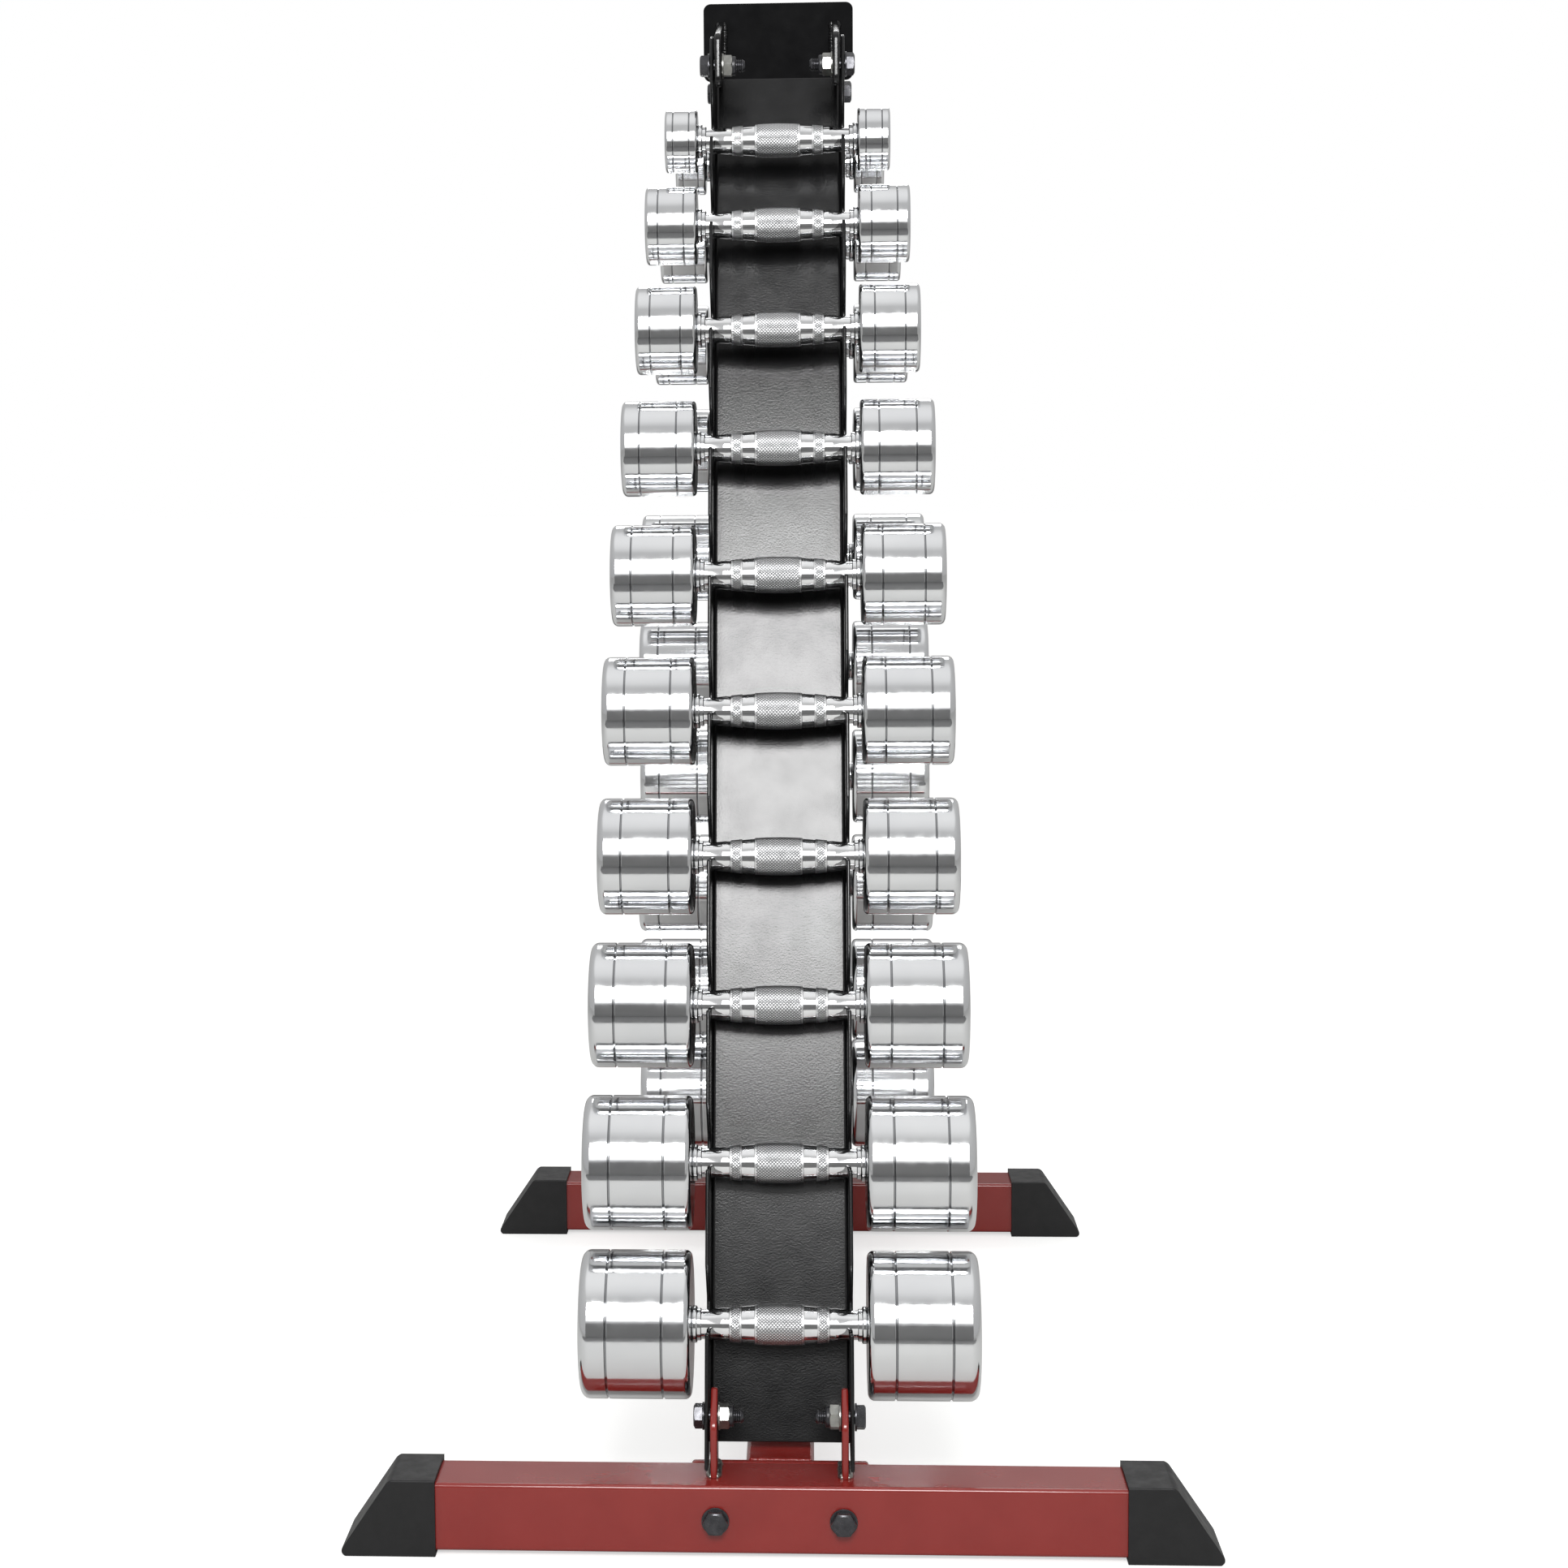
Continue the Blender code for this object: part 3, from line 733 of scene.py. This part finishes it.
def base():
    beam = BASE_DEPTH - 2 * TUBE - 2 * END_PLATE - 4 * GAP
    middle = TUBE_LOW + TUBE / 2
    square_tube("base_beam_tube", beam, False, Vector((0, 0, middle)), ["base_beam"])
    for end, side in ENDS:
        length = TUBE_SHOWN[end] + 2 * (CAP_SOCKET - GAP)
        centre = Vector((0, side * (BASE_DEPTH / 2 - TUBE / 2), middle))
        square_tube(f"{end}_foot", length, True, centre, [f"{end}_foot_tube"])
        start = side * (BASE_DEPTH / 2 - TUBE - GAP)
        outline = rounded_rectangle(END_PLATE_WIDTH, TUBE, TUBE_CORNER, 5)
        places = [(x, start, z + middle) for x, z in outline]
        shape = prism(places, Vector((0, -side * END_PLATE, 0)), PLATE_EDGE)
        piece(f"{end}_beam_flange", shape, RED, stands_for=[f"{end}_end_plate"])
        seam = start - side * (END_PLATE + 0.4 * MM)
        reach = TUBE / 2 - 2 * MM
        for label, x in (("left", -TUBE / 2), ("right", TUBE / 2)):
            low, high = Vector((x, seam, middle - reach)), Vector((x, seam, middle + reach))
            weld(f"{end}_beam_weld_{label}", low, high, 2.2 * MM, RED, x * 900 + side)
        top = TUBE_TOP - 0.3 * MM
        low, high = Vector((-reach, seam, top)), Vector((reach, seam, top))
        weld(f"{end}_beam_weld_top", low, high, 1.5 * MM, RED, 5 + side)
        for hand, hand_side in HANDS:
            foot_cap(end, hand, side, hand_side)


# ---------------------------------------------------------------- lugs and top plate


def base_lug_view():
    """A base lug from the side, as (y, z) for the front foot."""
    front = -BASE_DEPTH / 2 + LUG_FRONT
    back = -BASE_DEPTH / 2 + LUG_BACK
    low = TUBE_TOP + GAP
    nose = arc((front + 9 * MM, BASE_LUG_NOSE), 9 * MM, math.pi, math.radians(120), 6)
    crown = arc((back - 8 * MM, BASE_LUG_TOP - 8 * MM), 8 * MM, math.radians(110), 0, 8)
    return [(front, low), *nose, *crown, (back, low)]


def top_lug_view():
    """A top lug from the side, as (y, z) for the front column."""
    front = in_place(*TOP_BOLT, -1)[0] - TOP_LUG_REACH
    back = -PLATE_THICK / 2 - GAP
    round_low = arc((front + 8 * MM, ROUND_LOW), 8 * MM, math.pi * 1.5, math.pi, 8)
    round_high = arc((front + 8 * MM, ROUND_HIGH), 8 * MM, math.pi, math.radians(103), 7)
    return [(back, TOP_LUG_LOW), *round_low, *round_high, (back, TOP_LUG_HIGH)]


def lugs():
    for end, side in ENDS:
        for hand, hand_side in HANDS:
            x = hand_side * LUG_OUTER_X
            step = Vector((-hand_side * LUG, 0, 0))
            shape = prism([(x, -side * y, z) for y, z in base_lug_view()], step, LUG_EDGE, 3)
            name = f"{end}_{hand}_base_lug"
            piece(name + "_plate", shape, RED, stands_for=[name])
            shape = prism([(x, -side * y, z) for y, z in top_lug_view()], step, LUG_EDGE, 3)
            name = f"{end}_{hand}_top_lug"
            piece(name + "_plate", shape, BLACK, stands_for=[name])
            near = side * (BASE_DEPTH / 2 - LUG_FRONT - 0.5 * MM)
            far = side * (BASE_DEPTH / 2 - LUG_BACK + 0.5 * MM)
            for label, place in (("outer", x), ("inner", x - hand_side * LUG)):
                low = TUBE_TOP + 0.6 * MM
                first, last = Vector((place, near, low)), Vector((place, far, low))
                seed = place * 1000 + side * 3
                weld(f"{end}_{hand}_base_weld_{label}", first, last, 3.0 * MM, WELD, seed)
                seam = side * (PLATE_THICK / 2 + 0.6 * MM)
                first = Vector((place, seam, TOP_LUG_LOW + 1 * MM))
                last = Vector((place, seam, TOP_LUG_HIGH))
                name = f"{end}_{hand}_top_weld_{label}"
                weld(name, first, last, 2.6 * MM, BLACK, seed + 11)
    outline = rounded_rectangle(PLATE_WIDTH, PLATE_TOP - PLATE_LOW, PLATE_CORNER, 8)
    middle = (PLATE_TOP + PLATE_LOW) / 2
    places = [(x, -PLATE_THICK / 2, z + middle) for x, z in outline]
    shape = prism(places, Vector((0, PLATE_THICK, 0)), PLATE_EDGE)
    piece("top_cross_plate", shape, PLATE_BLACK, stands_for=["top_plate"])


# ---------------------------------------------------------------- bolts, washers and nuts


def hexagon(start, stop):
    """A hexagonal bar along X whose corners are trimmed by a cone at stop."""
    shape = bmesh.new()
    bmesh.ops.create_cone(
        shape,
        cap_ends=True,
        segments=6,
        radius1=HEX_RADIUS,
        radius2=HEX_RADIUS,
        depth=abs(stop - start),
    )
    upright = Matrix.Rotation(math.pi / 2, 3, "Y")
    bmesh.ops.rotate(shape, verts=shape.verts, cent=(0, 0, 0), matrix=upright)
    bmesh.ops.translate(shape, verts=shape.verts, vec=((start + stop) / 2, 0, 0))
    flat = HEX_RADIUS * math.cos(math.pi / 6)
    heading = math.copysign(1, stop - start)
    for i in range(CHAMFER_CUTS):
        angle = 2 * math.pi * i / CHAMFER_CUTS
        out = Vector((0, math.cos(angle), math.sin(angle)))
        cut = bmesh.ops.bisect_plane(
            shape,
            geom=shape.verts[:] + shape.edges[:] + shape.faces[:],
            plane_co=X_AXIS * stop + out * flat * CHAMFER_START,
            plane_no=out * math.sin(CHAMFER) + X_AXIS * heading * math.cos(CHAMFER),
            clear_outer=True,
        )
        rim = [e for e in cut["geom_cut"] if isinstance(e, bmesh.types.BMEdge)]
        if rim:
            bmesh.ops.holes_fill(shape, edges=[e for e in rim if e.is_boundary], sides=0)
    return shape


def thread(start, stop):
    """(x, radius) points of a threaded stretch of shank, from start to stop."""
    points = []
    turns = int((stop - start) / THREAD_PITCH)
    for i in range(turns):
        x = start + i * THREAD_PITCH
        points += [(x, SHANK_RADIUS - THREAD_DEPTH), (x + THREAD_PITCH * 0.42, SHANK_RADIUS)]
        points += [(x + THREAD_PITCH * 0.58, SHANK_RADIUS)]
    return points


def washer(start, place, heading):
    """A plain washer with stamped edges, start metres along heading from place."""
    inner = SHANK_RADIUS + GAP
    edge = 0.3 * MM
    loop = [(start, inner), (start, WASHER_RADIUS - edge), (start + edge, WASHER_RADIUS)]
    loop += [(start + WASHER_THICK - edge, WASHER_RADIUS), (start + WASHER_THICK, WASHER_RADIUS - edge)]
    loop += [(start + WASHER_THICK, inner)]
    return put(turned_ring(loop, 48), place, heading)


def bolt(node, length, place, heading):
    """A hex bolt with its washer. Its shank points along heading, and place is the face it clamps."""
    head = hexagon(-WASHER_ROOM, -WASHER_ROOM - HEAD_HEIGHT)
    piece(node + "_head", put(head, place, heading), OXIDE, sharp=25)
    stop = length - WASHER_ROOM
    threaded = min(THREADED, length * 0.8)
    profile = [(-WASHER_ROOM - 1 * MM, 0), (-WASHER_ROOM - 1 * MM, SHANK_RADIUS)]
    profile += [(stop - threaded - 0.1 * MM, SHANK_RADIUS), *thread(stop - threaded, stop - 1 * MM)]
    profile += [(stop - 0.9 * MM, SHANK_RADIUS - THREAD_DEPTH)]
    profile += [(stop, SHANK_RADIUS - 1.3 * MM), (stop, 0)]
    shape = put(turned(profile, 32), place, heading)
    piece(node + "_shank", shape, OXIDE, stands_for=[node], weighted=False)
    shape = washer(-WASHER_THICK - 0.05 * MM, place, heading)
    piece(node + "_washer", shape, OXIDE)


def locknut(name, place, heading, stands_for=()):
    """A nyloc nut with its washer: hexagon, rolled rim and ring. It grows along heading from place."""
    shape = hexagon(WASHER_ROOM, WASHER_ROOM + NUT_HEIGHT * 0.72)
    piece(name + "_hexagon", put(shape, place, heading), ZINC, sharp=25, stands_for=stands_for)
    low = WASHER_ROOM + NUT_HEIGHT * 0.68
    high = WASHER_ROOM + NUT_HEIGHT
    rim = [(low, NUT_BORE), (low, NUT_ROLL_RADIUS + NUT_ROLL)]
    rim += arc((high - NUT_ROLL, NUT_ROLL_RADIUS), NUT_ROLL, math.pi / 2, 0.1, 6)
    rim += [(high, NUT_ROLL_RADIUS + 0.2 * MM)]
    rim += [(high - 0.5 * MM, 6.5 * MM), (high - 0.5 * MM, NUT_BORE)]
    piece(name + "_rim", put(turned_ring(rim, 48), place, heading), NYLON)
    ring = [(low + 0.2 * MM, 5.1 * MM), (high - 0.9 * MM, 5.1 * MM), (high - 0.35 * MM, 5.6 * MM)]
    ring += [(high - 0.35 * MM, 6.4 * MM), (low + 0.2 * MM, 6.4 * MM)]
    piece(name + "_nylon_ring", put(turned_ring(ring, 48), place, heading), NYLON)
    shape = washer(0.05 * MM, place, heading)
    piece(name + "_washer", shape, ZINC)


def fixings():
    for end, side in ENDS:
        for hand, hand_side in HANDS:
            inwards = Vector((-hand_side, 0, 0))
            for level, spot in (("base", LOW_BOLT), ("top", TOP_BOLT)):
                y, z = in_place(*spot, side)
                outside = Vector((hand_side * (CHANNEL_WIDTH / 2 + GAP), y, z))
                inside = Vector((hand_side * (LUG_OUTER_X - LUG - GAP), y, z))
                bolt(f"{end}_{hand}_{level}_bolt", COLUMN_BOLT, outside, inwards)
                nut = f"{end}_{hand}_{level}_nut"
                locknut(nut, inside, inwards, [nut])
            x = hand_side * FOOT_BOLT_X
            face = Vector((x, side * (BASE_DEPTH / 2 + GAP), FOOT_BOLT_Z))
            bolt(f"{end}_{hand}_foot_bolt", FOOT_BOLT, face, Vector((0, -side, 0)))
            behind = Vector((x, side * (BASE_DEPTH / 2 - TUBE - END_PLATE - 2 * GAP), FOOT_BOLT_Z))
            locknut(f"{end}_{hand}_foot_nut", behind, Vector((0, -side, 0)))


# ---------------------------------------------------------------- dumbbells


def between(pair, step):
    """A value between the heaviest dumbbell's and the lightest's."""
    return pair[0] + (pair[1] - pair[0]) * step / (len(HEAD_DIAMETER) - 1)


def head_profile(step):
    """(x, radius) points of a head from its inner face to its outer one."""
    radius = HEAD_DIAMETER[step] / 2
    inner, width = HEAD_INNER_X, HEAD_WIDTH[step]
    outer = inner + width
    near, far = between(INNER_EDGE, step), between(OUTER_EDGE, step)
    points = [(inner, 0), (inner, radius * 0.5)]
    points += arc((inner + near, radius - near), near, math.pi, math.pi / 2, 10)
    half, floor = between(GROOVE_HALF, step), radius - between(GROOVE_DEPTH, step)
    for share in (0.5 - GROOVE_SHARE, 0.5 + GROOVE_SHARE):
        x = inner + width * share
        points += [(x - half * 1.5, radius), (x - half, radius - 0.12 * MM), (x - half * 0.45, floor)]
        points += [(x + half * 0.45, floor), (x + half, radius - 0.12 * MM), (x + half * 1.5, radius)]
    points += arc((outer - far, radius - far), far, math.pi / 2, 0, 12)
    points += [(outer, radius * 0.5), (outer, 0)]
    return points


def mark_grooves(shape, step):
    """Gives the floors of a head's two grooves the value 1 in the attribute "groove", which the finish
    darkens as painted shade.
    """
    groove = shape.verts.layers.float.new("groove")
    floor = HEAD_DIAMETER[step] / 2 - between(GROOVE_DEPTH, step)
    for v in shape.verts:
        on_barrel = 0.1 < (v.co.x - HEAD_INNER_X) / HEAD_WIDTH[step] < 0.9
        if on_barrel and abs(math.hypot(v.co.y, v.co.z) - floor) < 0.01 * MM:
            v[groove] = 1.0


def grip_radius(x, step):
    """Radius of a crowned handle x from its middle."""
    share = min(1.0, abs(x) / (HEAD_INNER_X - COLLAR_WIDTH - NECK_WIDTH))
    end, middle = between(GRIP_END_RADIUS, step), between(GRIP_MIDDLE_RADIUS, step)
    return end + (middle - end) * (1 - share**2) ** 1.5


def handle(step):
    """A crowned handle with three bands of diamond knurling, made along X.

    Its rings are placed in whole micrometres, so that each can be told apart again after the turning.
    The real diamonds are about half as wide; they are drawn this coarse so that they still show.
    """
    reach = HEAD_INNER_X + 2 * MM
    rows = {}
    for low, high in KNURL_BANDS:
        count = round((high - low) * MM / KNURL_STEP)
        for i in range(count + 1):
            rows[round(1000 * (low + (high - low) * i / count))] = i if i < count else 0
    relief = [sign * x * 1000 for sign in (-1, 1) for x in RELIEF]
    plain = [sign * (NECK_FIRST - i * NECK_STEP) for sign in (-1, 1) for i in range(NECK_RINGS)]
    xs = [x * 1e-6 for x in sorted([*rows, *plain, *relief])]
    xs = [-reach, COLLAR_WIDTH - HEAD_INNER_X, *xs, HEAD_INNER_X - COLLAR_WIDTH, reach]
    sunk = {x * 1e-6 for x in relief}
    radii = [grip_radius(x, step) - (KNURL_RISE if x in sunk else 0) for x in xs]
    profile = [(-reach, 0), *zip(xs, radii), (reach, 0)]
    shape = turned(profile, KNURL_ROUND)
    knurled = shape.verts.layers.float.new("knurled")
    groove = shape.verts.layers.float.new("groove")
    valleys = []
    for v in shape.verts:
        row = rows.get(round(v.co.x * 1e6))
        if row is None:
            continue
        v[knurled] = 1.0
        if row:
            turn = round(math.atan2(v.co.z, v.co.y) / (2 * math.pi / KNURL_ROUND))
            low = (row + turn) % 2
            out = Vector((0, v.co.y, v.co.z)).normalized()
            v.co += out * (-0.6 if low else 0.4) * KNURL_DEPTH
            # The valleys get 1 in "groove", which the finish darkens as painted shade.
            v[groove] = float(low)
            if low:
                valleys.append(v)
    bmesh.ops.connect_verts(shape, verts=valleys)
    return shape


def collar(hand_side):
    """The stepped collar between a handle and a head, made along X."""
    inner = HEAD_INNER_X - COLLAR_WIDTH
    start = inner - SHOULDER_WIDTH
    edge = COLLAR_EDGE
    loop = [(start, COLLAR_BORE), (start, SHOULDER_RADIUS - edge / 2)]
    loop += [(start + edge / 2, SHOULDER_RADIUS), (inner, SHOULDER_RADIUS)]
    loop += arc((inner + edge, COLLAR_RADIUS - edge), edge, math.pi, math.pi / 2, 4)
    loop += arc((HEAD_INNER_X - edge, COLLAR_RADIUS - edge), edge, math.pi / 2, 0, 4)
    loop += [(HEAD_INNER_X, COLLAR_BORE)]
    return turned_ring([(hand_side * x, radius) for x, radius in loop], 64)


def dumbbells():
    half_turn = Matrix.Rotation(math.pi, 3, "Z")
    for end, _ in ENDS:
        for step in range(len(HEAD_DIAMETER)):
            node = f"{end}_dumbbell_{len(HEAD_DIAMETER) - step:02d}"
            low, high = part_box(node)
            place = (low + high) / 2
            shape = handle(step)
            bmesh.ops.translate(shape, verts=shape.verts, vec=place)
            piece(node + "_handle", shape, KNURLED, node, [node], sharp=18, weighted=False)
            for hand, hand_side in HANDS:
                shape = turned(head_profile(step), 96)
                mark_grooves(shape, step)
                if hand_side < 0:
                    bmesh.ops.rotate(shape, verts=shape.verts, cent=(0, 0, 0), matrix=half_turn)
                bmesh.ops.translate(shape, verts=shape.verts, vec=place)
                piece(f"{node}_{hand}_head", shape, CHROME, node)
                shape = collar(hand_side)
                bmesh.ops.translate(shape, verts=shape.verts, vec=place)
                piece(f"{node}_{hand}_collar", shape, CHROME, node, weighted=False)


# ---------------------------------------------------------------- floor, light and camera


def sheet(name, finish, width, height, place, upright=False):
    """A flat sheet of the studio, which isn't part of the rack."""
    shape = bmesh.new()
    bmesh.ops.create_grid(shape, x_segments=1, y_segments=1, size=0.5)
    bmesh.ops.scale(shape, verts=shape.verts, vec=(width, height, 1))
    if upright:
        turn = Matrix.Rotation(math.pi / 2, 3, "X")
        bmesh.ops.rotate(shape, verts=shape.verts, cent=(0, 0, 0), matrix=turn)
    bmesh.ops.translate(shape, verts=shape.verts, vec=place)
    mesh = bpy.data.meshes.new(name)
    shape.to_mesh(mesh)
    shape.free()
    mesh.materials.append(finish)
    made = bpy.data.objects.new(name, mesh)
    bpy.context.scene.collection.objects.link(made)
    return made


def softbox(name, place, aim, width, height, power):
    """A soft rectangular lamp that the gloss shows and the camera doesn't."""
    data = bpy.data.lights.new(name, "AREA")
    data.shape = "RECTANGLE"
    data.size = width
    data.size_y = height
    data.energy = power
    made = bpy.data.objects.new(name, data)
    bpy.context.scene.collection.objects.link(made)
    made.location = place
    made.rotation_euler = (Vector(aim) - Vector(place)).to_track_quat("-Z", "Y").to_euler()
    made.visible_camera = False


def studio():
    """A pale room with softboxes in front and behind. Only gloss shows its stands and dark grounds."""
    world = bpy.data.worlds.new("studio")
    bpy.context.scene.world = world
    world.use_nodes = True
    tree = world.node_tree
    tree.nodes.clear()
    place = add(tree, "ShaderNodeTexCoord").outputs["Generated"]
    parts = add(tree, "ShaderNodeSeparateXYZ", links={"Vector": place})
    ramp = add(tree, "ShaderNodeValToRGB", links={"Fac": parts.outputs["Z"]})
    elements = ramp.color_ramp.elements
    for height, light in ROOM_LIGHT:
        element = elements.new(height)
        element.color = (light, light, light, 1.0)
    elements.remove(elements[0])
    elements.remove(elements[-1])
    seen = add(tree, "ShaderNodeLightPath")
    lit = add(tree, "ShaderNodeBackground", {"Strength": 1.0}, {"Color": ramp.outputs["Color"]})
    plain = add(tree, "ShaderNodeBackground", {"Color": (1.0, 1.0, 1.0, 1.0), "Strength": 1.0})
    both = add(tree, "ShaderNodeMixShader", links={"Fac": seen.outputs["Is Camera Ray"]})
    tree.links.new(lit.outputs["Background"], both.inputs[1])
    tree.links.new(plain.outputs["Background"], both.inputs[2])
    add(tree, "ShaderNodeOutputWorld", links={"Surface": both.outputs["Shader"]})
    sheet("floor", FLOOR, FLOOR_SIZE, FLOOR_SIZE, (0, 0, 0))
    for end, side in ENDS:
        middle = (0, side * STAND_Y, STAND_HEIGHT / 2)
        stand = sheet(f"{end}_stand", CARD, STAND_WIDTH, STAND_HEIGHT, middle, upright=True)
        middle = (0, side * GROUND_Y, GROUND_Z)
        ground = sheet(f"{end}_dark_ground", GROUND, GROUND_WIDTH, GROUND_DEPTH, middle)
        for board in (stand, ground):
            board.visible_camera = False
            board.visible_shadow = False
            board.visible_diffuse = False
    for name, settings in SOFTBOXES.items():
        softbox(name, *settings)
    bpy.context.scene.view_settings.view_transform = "Standard"


def camera():
    data = bpy.data.cameras.new("camera")
    data.sensor_width = SENSOR
    data.lens = FOCAL_SHARE * SENSOR
    data.shift_x, data.shift_y = SHIFT
    data.clip_start = 0.05
    made = bpy.data.objects.new("camera", data)
    bpy.context.scene.collection.objects.link(made)
    turn, nod, roll = (Matrix.Rotation(angle, 4, axis) for angle, axis in CAMERA_TURNS)
    upright = Matrix.Rotation(math.pi / 2, 4, "X")
    made.matrix_world = Matrix.Translation(CAMERA_PLACE) @ turn @ nod @ roll @ upright
    bpy.context.scene.camera = made


camera()
base()
for end, side in ENDS:
    column(end, side)
lugs()
fixings()
dumbbells()
studio()
bpy.context.view_layer.update()
